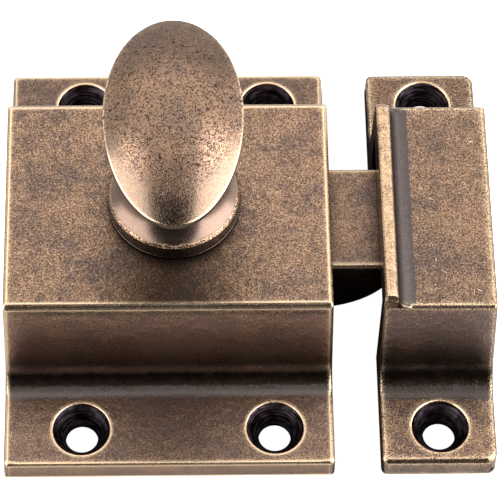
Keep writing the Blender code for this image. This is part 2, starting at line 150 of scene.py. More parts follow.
# Bolt and spring
BOLT_HALF_WIDTH = 6.35 * MM
BOLT_BACK_X = 13.6 * MM
NOSE_CENTRE_X = 15.2 * MM
NOSE_EDGE = 0.3 * MM
TAIL_END_X = 14.7 * MM
TAIL_HALF = 10.3 * MM
TAIL_Z = (6.4 * MM, 9.4 * MM)
TAIL_EDGE = 0.25 * MM
WINDOW_X = (-3.4 * MM, 13.4 * MM)
WINDOW_HALF = 8.9 * MM
WINDOW_Z = (0.0, 15 * MM)
SEAT_PROUD = 0.4 * MM
SEAT_DEPTH = 0.7 * MM
SEAT_HALF = 3.3 * MM
SEAT_Z = (4.6 * MM, 11.2 * MM)
SEAT_EDGE = 0.15 * MM
WIRE_R = 0.35 * MM
SPRING_TURNS = 6


# Meshes


def mesh_object(bm, name, *materials):
    bmesh.ops.remove_doubles(bm, verts=bm.verts, dist=0.0005 * MM)
    bmesh.ops.recalc_face_normals(bm, faces=bm.faces)
    mesh = bpy.data.meshes.new(name)
    bm.to_mesh(mesh)
    bm.free()
    item = bpy.data.objects.new(name, mesh)
    bpy.context.scene.collection.objects.link(item)
    for material in materials:
        mesh.materials.append(material)
    return item


def apply_modifiers(item):
    depsgraph = bpy.context.evaluated_depsgraph_get()
    result = bpy.data.meshes.new_from_object(item.evaluated_get(depsgraph))
    item.modifiers.clear()
    item.data = result


def combine(target, tool, operation):
    """Unites the tool with the target, or subtracts it; cut faces keep the tool's material."""
    modifier = target.modifiers.new("combine", "BOOLEAN")
    modifier.operation = operation
    modifier.object = tool
    modifier.solver = "EXACT"
    modifier.material_mode = "TRANSFER"
    apply_modifiers(target)
    bpy.data.objects.remove(tool, do_unlink=True)


def box(name, x, y, z, *materials):
    bm = bmesh.new()
    bmesh.ops.create_cube(bm, size=1.0)
    bmesh.ops.scale(bm, vec=(x[1] - x[0], y[1] - y[0], z[1] - z[0]), verts=bm.verts)
    bmesh.ops.translate(bm, vec=(sum(x) / 2, sum(y) / 2, sum(z) / 2), verts=bm.verts)
    return mesh_object(bm, name, *materials)


def prism(name, outline, direction, *materials):
    bm = bmesh.new()
    face = bm.faces.new([bm.verts.new(point) for point in outline])
    extruded = bmesh.ops.extrude_face_region(bm, geom=[face], use_keep_orig=True)
    moved = [part for part in extruded["geom"] if isinstance(part, bmesh.types.BMVert)]
    bmesh.ops.translate(bm, vec=direction, verts=moved)
    return mesh_object(bm, name, *materials)


def turned(name, profile, sides, centre, *materials):
    """A profile of (radius, height) points turned round the Z axis through the centre."""
    bm = bmesh.new()
    points = [bm.verts.new((radius, 0.0, height)) for radius, height in profile]
    edges = [bm.edges.new(pair) for pair in zip(points, points[1:])]
    bmesh.ops.spin(bm, geom=points + edges, cent=(0, 0, 0), axis=(0, 0, 1),
                   angle=2 * math.pi, steps=sides, use_merge=True)
    bmesh.ops.translate(bm, vec=centre, verts=bm.verts)
    return mesh_object(bm, name, *materials)


def round_bar(name, radius, z, sides, centre, *materials):
    profile = [(0.0, z[0]), (radius, z[0]), (radius, z[1]), (0.0, z[1])]
    return turned(name, profile, sides, centre, *materials)


def skin_rings(bm, rings):
    """Faces between each two neighbouring rings of vertices."""
    for first, second in zip(rings, rings[1:]):
        for i in range(len(first)):
            j = (i + 1) % len(first)
            bm.faces.new((first[i], first[j], second[j], second[i]))


def arc(centre, radius, start, end, steps):
    angles = [math.radians(start + (end - start) * i / steps) for i in range(steps + 1)]
    return [(centre[0] + radius * math.cos(a), centre[1] + radius * math.sin(a)) for a in angles]


def bevel_edges(item, widths, segments, profile):
    """Bevels each edge by the width that the function widths gives for it (0 for none)."""
    bm = bmesh.new()
    bm.from_mesh(item.data)
    bm.edges.ensure_lookup_table()
    values = [widths(edge) for edge in bm.edges]
    bm.free()
    widest = max(values)
    stale = item.data.attributes.get("bevel_weight_edge")
    if stale:
        item.data.attributes.remove(stale)
    weights = item.data.attributes.new("bevel_weight_edge", "FLOAT", "EDGE")
    weights.data.foreach_set("value", [value / widest for value in values])
    modifier = item.modifiers.new("bevel", "BEVEL")
    modifier.limit_method = "WEIGHT"
    modifier.offset_type = "OFFSET"
    modifier.width = widest
    modifier.segments = segments
    modifier.profile = profile
    modifier.use_clamp_overlap = False
    apply_modifiers(item)


def is_ridge(edge, degrees=40.0):
    return len(edge.link_faces) == 2 and edge.is_convex and edge.calc_face_angle() > math.radians(degrees)


def shade_smoothly(item, sharp_degrees):
    """Smooth shading, with edges over the angle kept sharp."""
    item.data.shade_smooth()
    item.data.set_sharp_from_angle(angle=math.radians(sharp_degrees))


def finish_casting(item):
    """Drops faces of no area, then shades smoothly and keeps flat faces flat."""
    bm = bmesh.new()
    bm.from_mesh(item.data)
    bmesh.ops.remove_doubles(bm, verts=bm.verts, dist=0.002 * MM)
    bmesh.ops.dissolve_degenerate(bm, edges=bm.edges, dist=0.002 * MM)
    bm.to_mesh(item.data)
    bm.free()
    shade_smoothly(item, 40.0)
    modifier = item.modifiers.new("weighted_normal", "WEIGHTED_NORMAL")
    modifier.keep_sharp = True
    modifier.weight = 80
    apply_modifiers(item)


# Materials


class Nodes:
    """Short calls for building a node tree."""

    def __init__(self, tree):
        self.tree = tree

    def put(self, target, value):
        if isinstance(value, bpy.types.NodeSocket):
            self.tree.links.new(value, target)
        elif value is not None:
            target.default_value = value

    def add(self, kind, inputs=(), **settings):
        node = self.tree.nodes.new(kind)
        for key, value in settings.items():
            setattr(node, key, value)
        for key, value in dict(inputs).items():
            self.put(node.inputs[key], value)
        return node

    def math(self, operation, a, b=None, c=None, clamp=False):
        node = self.add("ShaderNodeMath", operation=operation, use_clamp=clamp)
        for socket, value in zip(node.inputs, (a, b, c)):
            self.put(socket, value)
        return node.outputs[0]

    def place(self, scale=(1.0, 1.0, 1.0), turn=(0.0, 0.0, 0.0)):
        """The point on the object in millimetres, turned and then scaled."""
        where = self.add("ShaderNodeTexCoord").outputs["Object"]
        inputs = {"Vector": where, "Rotation": turn, "Scale": tuple(MM / value for value in scale)}
        return self.add("ShaderNodeMapping", inputs, vector_type="TEXTURE").outputs[0]

    def noise(self, where, scale, detail=3.0, rough=0.55):
        inputs = {"Vector": where, "Scale": scale, "Detail": detail, "Roughness": rough}
        return self.add("ShaderNodeTexNoise", inputs).outputs["Fac"]

    def spread(self, value, low, high, to_low=0.0, to_high=1.0, smoothly=True):
        interpolation = "SMOOTHSTEP" if smoothly else "LINEAR"
        inputs = {"Value": value, "From Min": low, "From Max": high, "To Min": to_low, "To Max": to_high}
        return self.add("ShaderNodeMapRange", inputs, interpolation_type=interpolation).outputs[0]

    def blend(self, share, first, second):
        node = self.add("ShaderNodeMix", data_type="RGBA", clamp_factor=True)
        self.put(node.inputs["Factor"], share)
        colours = [socket for socket in node.inputs if socket.type == "RGBA"]
        for socket, value in zip(colours, (first, second)):
            self.put(socket, (*value, 1.0) if isinstance(value, tuple) else value)
        return [socket for socket in node.outputs if socket.type == "RGBA"][0]

    def edge(self, radius, low, high):
        """1 on edges that stand out or fold in within the radius, 0 on flat and gently curved places."""
        normal = self.add("ShaderNodeNewGeometry").outputs["Normal"]
        rounded = self.add("ShaderNodeBevel", {"Radius": radius}, samples=8).outputs["Normal"]
        dot = self.add("ShaderNodeVectorMath", {0: normal, 1: rounded}, operation="DOT_PRODUCT")
        return self.spread(self.math("SUBTRACT", 1.0, dot.outputs["Value"]), low, high)

    def zone(self, limits, ragged=0.0, soft=0.05, mirrored=True):
        """1 inside a box given by millimetre limits, on both sides of y = 0 if mirrored."""
        axes = self.add("ShaderNodeSeparateXYZ", {0: self.place()}).outputs
        y = self.math("ABSOLUTE", axes["Y"]) if mirrored else axes["Y"]
        inside = 1.0
        for value, (low, high) in zip((axes["X"], y, axes["Z"]), limits):
            value = self.math("MULTIPLY_ADD", ragged, 0.4, value)
            for border, sign in ((low, 1), (high, -1)):
                if border is not None:
                    step = self.spread(value, border - sign * soft, border + sign * soft)
                    inside = self.math("MULTIPLY", step, inside)
        return inside

    def openness(self, distance):
        """1 in the open, 0 deep in a corner."""
        return self.add("ShaderNodeAmbientOcclusion", {"Distance": distance}, samples=8).outputs["AO"]


class MaterialNodes(Nodes):
    """The node tree of a new material, with calls for its shader."""

    def __init__(self, name):
        self.material = bpy.data.materials.new(name)
        self.material.use_nodes = True
        super().__init__(self.material.node_tree)
        self.shader = self.tree.nodes["Principled BSDF"]

    def surface(self, **values):
        """Sets shader inputs, whose names are given in lower case with underscores."""
        names = {socket.name.lower().replace(" ", "_"): socket for socket in self.shader.inputs}
        for key, value in values.items():
            self.put(names[key], value)

    def bump(self, height, depth, strength=1.0):
        inputs = {"Strength": strength, "Distance": depth, "Height": height}
        self.surface(normal=self.add("ShaderNodeBump", inputs).outputs[0])


BRASS = (0.90, 0.665, 0.435)
WARM_BRASS = (0.84, 0.560, 0.340)
POLISHED_BRONZE = (0.205, 0.140, 0.100)
GOLD_BROWN = (0.285, 0.168, 0.102)
GREY_BROWN = (0.150, 0.104, 0.088)
PALE_GRAIN = (0.62, 0.410, 0.280)
WALL_PATINA = (0.56, 0.340, 0.250)
COVE_PATINA = (0.125, 0.104, 0.098)
EDGE_PATINA = (0.260, 0.140, 0.078)
SLATE_PATINA = (0.30, 0.218, 0.194)
DARK_COVE_PATINA = (0.078, 0.065, 0.064)
DOME_PATINA = (0.235, 0.148, 0.100)
TRUMPET_PATINA = (0.155, 0.106, 0.083)
DARK_PATINA = (0.045, 0.031, 0.026)
# Black of pits and dark patina, also used for painted shade
BLACK_PATINA_AND_SHADE = (0.008, 0.006, 0.006)
WHITE = (1.0, 1.0, 1.0, 1.0)
EVERYWHERE = ((None, None), (None, None), (None, None))


def strokes(n, size, turns, *limits):
    """Short strokes of a (width, length, length) frequency per millimetre, lying in a few directions."""
    share = 0.0
    for turn in turns:
        stroke = n.noise(n.place(size, (0.0, 0.0, turn)), 1.0, 1.0)
        share = n.math("MAXIMUM", n.spread(stroke, *limits), share)
    return share


def antique_bronze(name, seed, wear, grain_size=0.17, grain_depth=0.022, contrast=1.0, lightness=1.0,
                   roughness=0.29, darkness=0.0, painted_side_shade=0.0, halo=(0.25, 1.0), halo_reach=2.2,
                   ridge_reach=0.8, ridge_wear=None, pits=0.0, squiggles=0.0, evened=(), smooth_zones=(),
                   bare=(), polished=(), painted_shade=()):
    """Brown patina rubbed back to brass along edges and in fine grains, with black in corners that is partly
    dark patina and partly painted shade.

    wear is how far the edges are rubbed, and ridge_wear the same for their very ridge, if it differs.
    darkness dulls the whole piece, and the side darkening is painted shade on what doesn't face up.
    The grain, the halo round an edge and its ridge are sized in millimetres, and so are all places:
    evened and smooth_zones are (limits, colour, share, softness), before and after the wear,
    bare are the limits of bare brass, polished are (limits, share, softness) of what handling keeps bright,
    and the last list gives the same for painted shade: black laid over everything else in those places.
    """
    n = MaterialNodes(name)
    shift = (seed * 37.0, seed * 53.0, seed * 71.0)
    where = n.add("ShaderNodeVectorMath", {0: n.place(), 1: shift}).outputs[0]
    patches = n.noise(where, 0.17, 4.0, 0.60)
    clouds = n.noise(where, 0.80, 3.0, 0.65)
    grain = n.noise(where, 1.0 / grain_size, 2.0, 0.6)
    fine = n.noise(where, 2.2 / grain_size, 1.0, 0.5)
    rubbed = n.math("MULTIPLY_ADD", grain, 0.6, n.math("MULTIPLY", fine, 0.4))
    wide_edge = n.edge(halo_reach * MM, 0.0, 0.16)

    # Patina in clouds from grey to gold brown, with pale and dark grains
    grey_brown, gold_brown, pale_grain = [tuple(value * lightness for value in shade)
                                          for shade in (GREY_BROWN, GOLD_BROWN, PALE_GRAIN)]
    tone = n.math("MULTIPLY_ADD", patches, 0.55, n.math("MULTIPLY", clouds, 0.45))
    tone = n.math("ADD", n.spread(tone, 0.39, 0.60), n.math("MULTIPLY", wide_edge, 0.6), clamp=True)
    colour = n.blend(tone, grey_brown, gold_brown)
    bright_grain = n.math("MULTIPLY", n.spread(rubbed, 0.50, 0.62), n.math("MULTIPLY_ADD", tone, 0.45, 0.36))
    colour = n.blend(n.math("MULTIPLY", bright_grain, contrast, clamp=True), colour, pale_grain)
    dark_grain = n.math("MULTIPLY", n.spread(rubbed, 0.49, 0.38), 0.85 * contrast, clamp=True)
    colour = n.blend(dark_grain, colour, DARK_PATINA)
    for limits, patina, share, soft in evened:
        colour = n.blend(n.math("MULTIPLY", n.zone(limits, 0.0, soft), share), colour, patina)

    # Bright scratches, and the halo of worn grains round each edge
    scratches = strokes(n, (0.6, 5.0, 5.0), (0.5, 1.4, 2.5), 0.78, 0.80)
    colour = n.blend(n.math("MULTIPLY", scratches, 0.7), colour, BRASS)
    worn_grain = n.math("MULTIPLY_ADD", clouds, 0.35, n.math("MULTIPLY", rubbed, 0.65))
    rubbed_edge = n.math("MULTIPLY", n.spread(wide_edge, *halo), n.spread(worn_grain, 0.42, 0.56))
    colour = n.blend(n.math("MULTIPLY", rubbed_edge, wear), colour, BRASS)

    # Places with a look of their own, some of them painted shade, whose borders follow the clouds and grains
    ragged = n.math("MULTIPLY_ADD", n.math("SUBTRACT", clouds, 0.5), 1.2, n.math("SUBTRACT", rubbed, 0.5))
    covered = 0.0
    for limits, patina, share, soft in smooth_zones:
        inside = n.zone(limits, ragged, soft)
        covered = n.math("MAXIMUM", inside, covered)
        shown = n.spread(worn_grain, 0.36, 0.60, 0.7 * share, share)
        colour = n.blend(n.math("MULTIPLY", inside, shown), colour, patina)
    for limits in bare:
        rub = n.math("MULTIPLY", n.zone(limits), n.spread(worn_grain, 0.38, 0.60, 0.10, 0.60))
        colour = n.blend(rub, colour, WARM_BRASS)
    polish = 0.0
    for limits, share, soft in polished:
        inside = n.zone(limits, ragged, soft, mirrored=False)
        polish = n.math("MAXIMUM", n.math("MULTIPLY", inside, share), polish)
    if polished:
        colour = n.blend(polish, colour, POLISHED_BRONZE)
        covered = n.math("MAXIMUM", polish, covered)

    # Black in the corners, partly the dark patina of real hollows and partly painted shade where corners and
    # nearby parts shut out light; brass on the ridges
    colour = n.blend(n.spread(n.openness(3.0 * MM), 0.25, 0.85), BLACK_PATINA_AND_SHADE, colour)
    ridge_wear = wear if ridge_wear is None else ridge_wear
    ridge = n.edge(ridge_reach * MM, 0.003, 0.012)
    ridge = n.math("MULTIPLY", ridge, n.spread(n.math("ADD", rubbed, ridge_wear), 0.60, 0.85), clamp=True)
    colour = n.blend(ridge, colour, BRASS)
    # Painted shade, laid last: black over the places given
    for limits, share, soft in painted_shade:
        inside = n.zone(limits, 0.0, soft, mirrored=False)
        colour = n.blend(n.math("MULTIPLY", inside, share), colour, BLACK_PATINA_AND_SHADE)

    # Pits and dark squiggles
    cells = n.add("ShaderNodeTexVoronoi", {"Vector": where, "Scale": 1.0}).outputs
    chosen = n.spread(n.noise(where, 0.45, 1.0), 0.50, 0.58)
    pit = n.math("MULTIPLY", n.spread(cells["Distance"], 0.26, 0.16), n.math("MULTIPLY", chosen, pits))
    if squiggles:
        curls = strokes(n, (2.2, 7.0, 7.0), (0.3, 1.3, 2.4), 0.59, 0.66, 0.0, squiggles)
        pit = n.math("MULTIPLY", n.math("MAXIMUM", pit, curls), n.math("SUBTRACT", 1.0, covered))
    colour = n.blend(pit, colour, BLACK_PATINA_AND_SHADE)

    if darkness:
        colour = n.blend(darkness, colour, DARK_PATINA)
    # Painted shade: surfaces that don't face up are darkened towards black
    if painted_side_shade:
        normal = n.add("ShaderNodeTexCoord").outputs["Normal"]
        facing = n.add("ShaderNodeSeparateXYZ", {0: normal}).outputs["Z"]
        colour = n.blend(n.spread(facing, 0.50, 0.20, 0.0, painted_side_shade), colour, BLACK_PATINA_AND_SHADE)

    # Pale grains and gold clouds are the smoother ones, and polish takes the grain away
    rough = n.math("MULTIPLY_ADD", n.math("SUBTRACT", 0.5, rubbed), 0.40, roughness)
    rough = n.math("SUBTRACT", rough, n.math("MULTIPLY", n.math("SUBTRACT", tone, 0.5), 0.05))
    height = n.math("MULTIPLY_ADD", clouds, 2.0, rubbed)
    if polished:
        rough = n.spread(polish, 0.0, 1.0, rough, 0.18, smoothly=False)
        height = n.math("MULTIPLY", height, n.math("SUBTRACT", 1.0, covered))
    height = n.math("SUBTRACT", height, n.math("MULTIPLY", pit, 2.0))
    n.surface(base_color=colour, metallic=1.0, roughness=n.math("MAXIMUM", rough, 0.13))
    n.bump(height, grain_depth * MM)
    return n.material


def black_recess(name):
    """Dull dark patina of a countersink, with faint rings left by the cutter."""
    n = MaterialNodes(name)
    rings = n.noise(n.place((0.3, 0.3, 6.0)), 1.0, 2.0)
    spots = n.noise(n.place(), 1.2, 2.0)
    shade = n.math("MULTIPLY", n.spread(rings, 0.40, 0.62), n.spread(spots, 0.30, 0.60, 0.4, 1.0))
    colour = n.blend(shade, (0.014, 0.009, 0.010), (0.17, 0.135, 0.155))
    n.surface(base_color=colour, metallic=1.0, specular_tint=(0.10, 0.08, 0.09, 1.0),
              roughness=n.spread(spots, 0.3, 0.7, 0.30, 0.42))
    n.bump(rings, 0.04 * MM, 0.7)
    return n.material


def plain_metal(name, base, tint, roughness, brushed=(1.0, 1.0, 1.0)):
    """Plated or machined metal: light smears and fine lay lines."""
    n = MaterialNodes(name)
    smears = n.noise(n.place(), 0.5, 3.0)
    lines = n.noise(n.place(brushed), 3.0, 3.0)
    n.surface(base_color=n.blend(n.spread(smears, 0.35, 0.7), base, tint), metallic=1.0,
              roughness=n.spread(lines, 0.3, 0.7, roughness - 0.08, roughness + 0.10))
    n.bump(lines, 0.012 * MM, 0.5)
    return n.material


def matt_sheet(name, scale, dark, light):
    """Matt paper or board, a little mottled. Its nodes are returned, so that a caller can add to them."""
    n = MaterialNodes(name)
    n.surface(base_color=n.blend(n.noise(n.place(), scale, 2.0), dark, light), roughness=0.9,
              specular_ior_level=0.0)
    return n


# Castings


def wall_and_cove(top_half, height, cove):
    """One side of a hat section, from the flange up: a cove, then a sloping wall to the top edge."""
    cove_end, cove_r = cove
    top = Vector((top_half, height))
    centre = Vector((cove_end, FLANGE_THICK + cove_r))
    to_centre = centre - top
    slope = math.atan2(to_centre.y, to_centre.x) - math.asin(cove_r / to_centre.length)
    return arc(centre, cove_r, 270.0, 270.0 + math.degrees(slope), 20) + [tuple(top)]


def hat_section(name, x, half_length, top_half, height, cove, left_draft, corner, widths, skin):
    """A flanged casting with rounded corners in plan, leaning sides and worn, chamfered ridges."""
    side = wall_and_cove(top_half, height, cove)
    right = [(half_length, 0.0), (half_length, FLANGE_THICK)] + side
    left = [(-y, z) for y, z in reversed(right)]
    casting = prism(name, [(x[0], y, z) for y, z in right + left], (x[1] - x[0], 0.0, 0.0), skin)
    middle = sum(x) / 2
    for vert in casting.data.vertices:
        lean = vert.co.z / height
        vert.co.x += left_draft * lean if vert.co.x < middle else -SIDE_DRAFT * lean

    def corner_round(edge):
        return corner(edge) if is_ridge(edge) and is_flange_corner(edge) else 0.0

    bevel_edges(casting, corner_round, 6, 0.5)
    bevel_edges(casting, widths, 1, 0.5)

    def ridge_round(edge):
        if not is_ridge(edge, 25.0) or min(vert.co.z for vert in edge.verts) < 0.1 * MM:
            return 0.0
        across_end = abs(edge.verts[0].co.x - edge.verts[1].co.x) < 0.5 * MM
        return RIDGE_WORN_ACROSS if across_end else RIDGE_WORN_ALONG

    bevel_edges(casting, ridge_round, 2, 0.5)
    return casting


def is_flange_corner(edge):
    low, high = sorted(vert.co.z for vert in edge.verts)
    return low < 0.1 * MM and high > FLANGE_THICK * 0.9 and high < FLANGE_THICK * 1.1


def cut_screw_hole(casting, x, y, worn, rim_skin, recess_skin):
    """A countersunk screw hole whose rim is worn round and bare."""
    rim = arc((COUNTERSINK_R + worn * 0.6, FLANGE_THICK - worn), worn, 160.0, 92.0, 5)
    tool_top = FLANGE_THICK + 0.4 * MM
    profile = [(0.0, -CUTTER_MARGIN), (SCREW_HOLE_R, -CUTTER_MARGIN), (SCREW_HOLE_R, COUNTERSINK_FLOOR)]
    profile += rim + [(rim[-1][0], tool_top), (0.0, tool_top)]
    tool = turned("screw_hole", profile, 96, (x, y, 0.0), recess_skin, rim_skin)
    rim_z = FLANGE_THICK - worn
    for polygon in tool.data.polygons:
        polygon.material_index = 1 if polygon.center.z > rim_z else 0
    combine(casting, tool, "DIFFERENCE")


def make_case(skin, rim_skin, recess_skin, inside_skin):
    low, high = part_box("latch_case")
    height = high.z

    def widths(edge):
        if not is_ridge(edge) or max(vert.co.z for vert in edge.verts) < FLANGE_THICK / 2:
            return 0.0
        along_x = abs(edge.verts[0].co.x - edge.verts[1].co.x) > (high.x - low.x) / 2
        on_top = min(vert.co.z for vert in edge.verts) > height - MM
        if not along_x:
            return CASE_SIDE_CHAMFER
        return CASE_TOP_CHAMFER if on_top else CASE_FLANGE_CHAMFER

    case = hat_section("latch_case_casting", (low.x, high.x), high.y, CASE_TOP_HALF, height, CASE_COVE,
                       SIDE_DRAFT, lambda edge: CASE_CORNER, widths, skin)
    cavity = box("cavity", CAVITY_X, (-CAVITY_HALF, CAVITY_HALF), (-CUTTER_MARGIN, CAVITY_TOP), inside_skin)
    combine(case, cavity, "DIFFERENCE")
    boss = round_bar("boss", BOSS_R, (BOSS_FLOOR, CAVITY_TOP + MM), 64, (0, 0, 0), inside_skin)
    combine(case, boss, "UNION")
    for side in (0, 1):
        for row in (-1, 1):
            wall_x = (CAVITY_X[0] - MM, CAVITY_X[1] + MM)[side]
            x = sorted((wall_x, LUGS_INNER_X[side]))
            y = sorted((row * LUGS_INNER_Y, row * (CAVITY_HALF + MM)))
            combine(case, box("lug", x, y, LUG_Z, inside_skin), "UNION")
            centre = (LUG_BORES_X[side], row * LUG_BORES_Y, 0.0)
            bore = round_bar("lug_bore", LUG_BORE_R, LUG_BORE_Z, 32, centre, inside_skin)
            combine(case, bore, "DIFFERENCE")
    bore_z = (SPINDLE_BORE_FLOOR, height + CUTTER_MARGIN)
    combine(case, round_bar("spindle_bore", SPINDLE_BORE_R, bore_z, 64, (0, 0, 0), inside_skin), "DIFFERENCE")
    slot_x = (CAVITY_X[1] - CUTTER_MARGIN, high.x + CUTTER_MARGIN)
    combine(case, box("bolt_slot", slot_x, (-SLOT_HALF, SLOT_HALF), SLOT_Z, inside_skin), "DIFFERENCE")
    for x in CASE_HOLES_X:
        for row in (-1, 1):
            cut_screw_hole(case, x, row * HOLE_ROW_Y, CASE_RIM_WORN, rim_skin, recess_skin)
    finish_casting(case)
    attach(case, CASE_BODY)
    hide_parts("latch_case")


def lip_outline(x0):
    """XZ outline of the raised lip with a rounded crown, and the cove from it down to the flat top."""
    crown = STRIKE_HEIGHT + LIP_RISE
    inside = STRIKE_HEIGHT - MM
    left = arc((x0 + LIP_LEFT_R, crown - LIP_LEFT_R), LIP_LEFT_R, 180.0, 90.0, 6)
    right = arc((x0 + LIP_WIDTH - LIP_RIGHT_R * 0.9, crown - LIP_RIGHT_R), LIP_RIGHT_R, 90.0, 8.0, 10)
    cove = arc((x0 + LIP_WIDTH + LIP_COVE_R, STRIKE_HEIGHT + LIP_COVE_R), LIP_COVE_R, 201.0, 268.0, 14)
    return [(x0, inside)] + left + right + cove + [(cove[-1][0], inside)]


def make_lip(x0, skin):
    """The lip, chamfered at the near end, with a crown that falls in a quarter round at the far end."""
    outline = lip_outline(x0)
    inside = outline[0][1]
    near_y, far_y = -STRIKE_TOP_HALF, STRIKE_TOP_HALF - LIP_FAR_GAP
    sections = [(near_y, 0.88, LIP_NEAR_DROP), (near_y + LIP_NEAR_CHAMFER, 1.0, 0.0)]
    steps = 10
    for i in range(steps + 1):
        angle = math.pi / 2 * i / steps
        sections.append((far_y - LIP_FAR_FALL * (1 - math.sin(angle)), max(math.cos(angle), 0.02), 0.0))
    bm = bmesh.new()
    rings = []
    for y, keep, drop in sections:
        ring = []
        for x, z in outline:
            if z > inside:
                z = STRIKE_HEIGHT + (z - STRIKE_HEIGHT) * keep - drop
            ring.append(bm.verts.new((x, y, z)))
        rings.append(ring)
    skin_rings(bm, rings)
    bm.faces.new(rings[0])
    bm.faces.new(rings[-1])
    return mesh_object(bm, "lip", skin)


def make_strike(skin, rim_skin, recess_skin, inside_skin):
    low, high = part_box("strike")

    def widths(edge):
        top_z = max(vert.co.z for vert in edge.verts)
        if not is_ridge(edge) or top_z < FLANGE_THICK / 2:
            return 0.0
        across = abs(edge.verts[0].co.x - edge.verts[1].co.x) / edge.calc_length()
        on_flange = top_z < FLANGE_THICK + 0.1 * MM
        return (0.25 + 0.13 * across) * MM if on_flange else STRIKE_CHAMFER

    def corner(edge):
        return STRIKE_CORNER_OUTSIDE if edge.verts[0].co.x > high.x - MM else STRIKE_CORNER_BY_CASE

    strike = hat_section("strike_casting", (low.x, high.x), high.y, STRIKE_TOP_HALF, STRIKE_HEIGHT,
                         STRIKE_COVE, 0.0, corner, widths, skin)
    combine(strike, make_lip(low.x, skin), "UNION")
    hollow_half = STRIKE_TOP_HALF - STRIKE_WALL
    hollow = box("hollow", (low.x - CUTTER_MARGIN, high.x - STRIKE_WALL), (-hollow_half, hollow_half),
                 (-CUTTER_MARGIN, STRIKE_HEIGHT - STRIKE_WALL), inside_skin)
    combine(strike, hollow, "DIFFERENCE")
    for row in (-1, 1):
        cut_screw_hole(strike, STRIKE_HOLE_X, row * HOLE_ROW_Y, STRIKE_RIM_WORN, rim_skin, recess_skin)
    finish_casting(strike)
    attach(strike, CASE_BODY)
    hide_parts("strike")


# Knob


def knob_sections():
    """Rows of half width, half length, height and share of the waist's rise, from the socket to the crown."""
    low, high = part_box("knob")
    half_width, half_length, foot_z = HEAD_HALF_WIDTH, high.y, low.z
    edge_r = FOOT_EDGE_R
    rows = [(SOCKET_R * share, SOCKET_R * share, SOCKET_ROOF, 0.0) for share in (0.01, 1.0)]
    rows.append((SOCKET_R, SOCKET_R, foot_z, 0.0))
    rows += [(r, r, z, 0.0) for r, z in arc((FOOT_R - edge_r, foot_z + edge_r), edge_r, -90.0, 0.0, 4)]
    rows += [(r, r, z, 0.0) for r, z in arc((FOOT_R - edge_r, FOOT_TOP - edge_r), edge_r, 0.0, 50.0, 4)]

    steps = 22
    for i in range(steps + 1):
        angle = FOOT_FLARE * (1 - i / steps)
        flare = (FOOT_R - edge_r * 0.4 - NECK_R) * (1 - math.cos(angle)) / (1 - math.cos(FOOT_FLARE))
        radius = NECK_R + flare
        height = NECK_Z[0] - (NECK_Z[0] - FOOT_TOP) * math.sin(angle) / math.sin(FOOT_FLARE)
        rows.append((radius, radius, height, 0.0))
    underside = HEAD_RIM_Z - HEAD_BAND / 2
    for i in range(steps + 1):
        angle = HEAD_FLARE * i / steps
        share = (1 - math.cos(angle)) / (1 - math.cos(HEAD_FLARE))
        height = NECK_Z[1] + (underside - NECK_Z[1]) * math.sin(angle) / math.sin(HEAD_FLARE)
        rows.append((NECK_R + (half_width - NECK_R) * share, NECK_R + (half_length - NECK_R) * share,
                     height, share))

    for inset, height in arc((HEAD_RIM_R, underside + HEAD_BAND), HEAD_RIM_R, 180.0, 120.0, 5):
        rows.append((half_width - inset, half_length - inset, height, 1.0))
    half_width, half_length, dome_z = half_width - inset, half_length - inset, height
    steps = 40
    for i in range(1, steps):
        share = 1 - (i / steps) ** 1.1
        fall = share ** 2
        rows.append((half_width * share, half_length * share, dome_z + (high.z - dome_z) * (1 - fall), fall))
    return rows, high.z


def make_knob(skin):
    rows, top = knob_sections()
    bm = bmesh.new()
    rings = []
    for half_width, half_length, height, share in rows:
        ring = []
        for i in range(KNOB_SIDES):
            angle = 2 * math.pi * i / KNOB_SIDES
            x, y = half_width * math.cos(angle), half_length * math.sin(angle)
            lift = HEAD_WAIST_RISE * share * math.cos(angle) ** 2
            ring.append(bm.verts.new((x, y, height + lift)))
        rings.append(ring)
    skin_rings(bm, rings)
    bm.faces.new(rings[0])
    crown = bm.verts.new((0.0, 0.0, top))
    for i in range(KNOB_SIDES):
        bm.faces.new((rings[-1][i], rings[-1][(i + 1) % KNOB_SIDES], crown))
    knob = mesh_object(bm, "knob_casting", skin)
    shade_smoothly(knob, 50.0)
    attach(knob, KNOB_BODY)
    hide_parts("knob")


def make_washer(skin):
    low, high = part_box("knob_washer")
    edge_r = WASHER_EDGE_R
    profile = [(WASHER_BORE_R, low.z)] + arc((high.x - edge_r, low.z + edge_r), edge_r, -90.0, 0.0, 4)
    profile += arc((high.x - edge_r, high.z - edge_r), edge_r, 0.0, 90.0, 4)
    profile += [(WASHER_BORE_R, high.z), (WASHER_BORE_R, low.z)]
    washer = turned("knob_washer_ring", profile, KNOB_SIDES, (0.0, 0.0, 0.0), skin)
    shade_smoothly(washer, 50.0)
    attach(washer, CASE_BODY)
    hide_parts("knob_washer")


# Bolt and spring


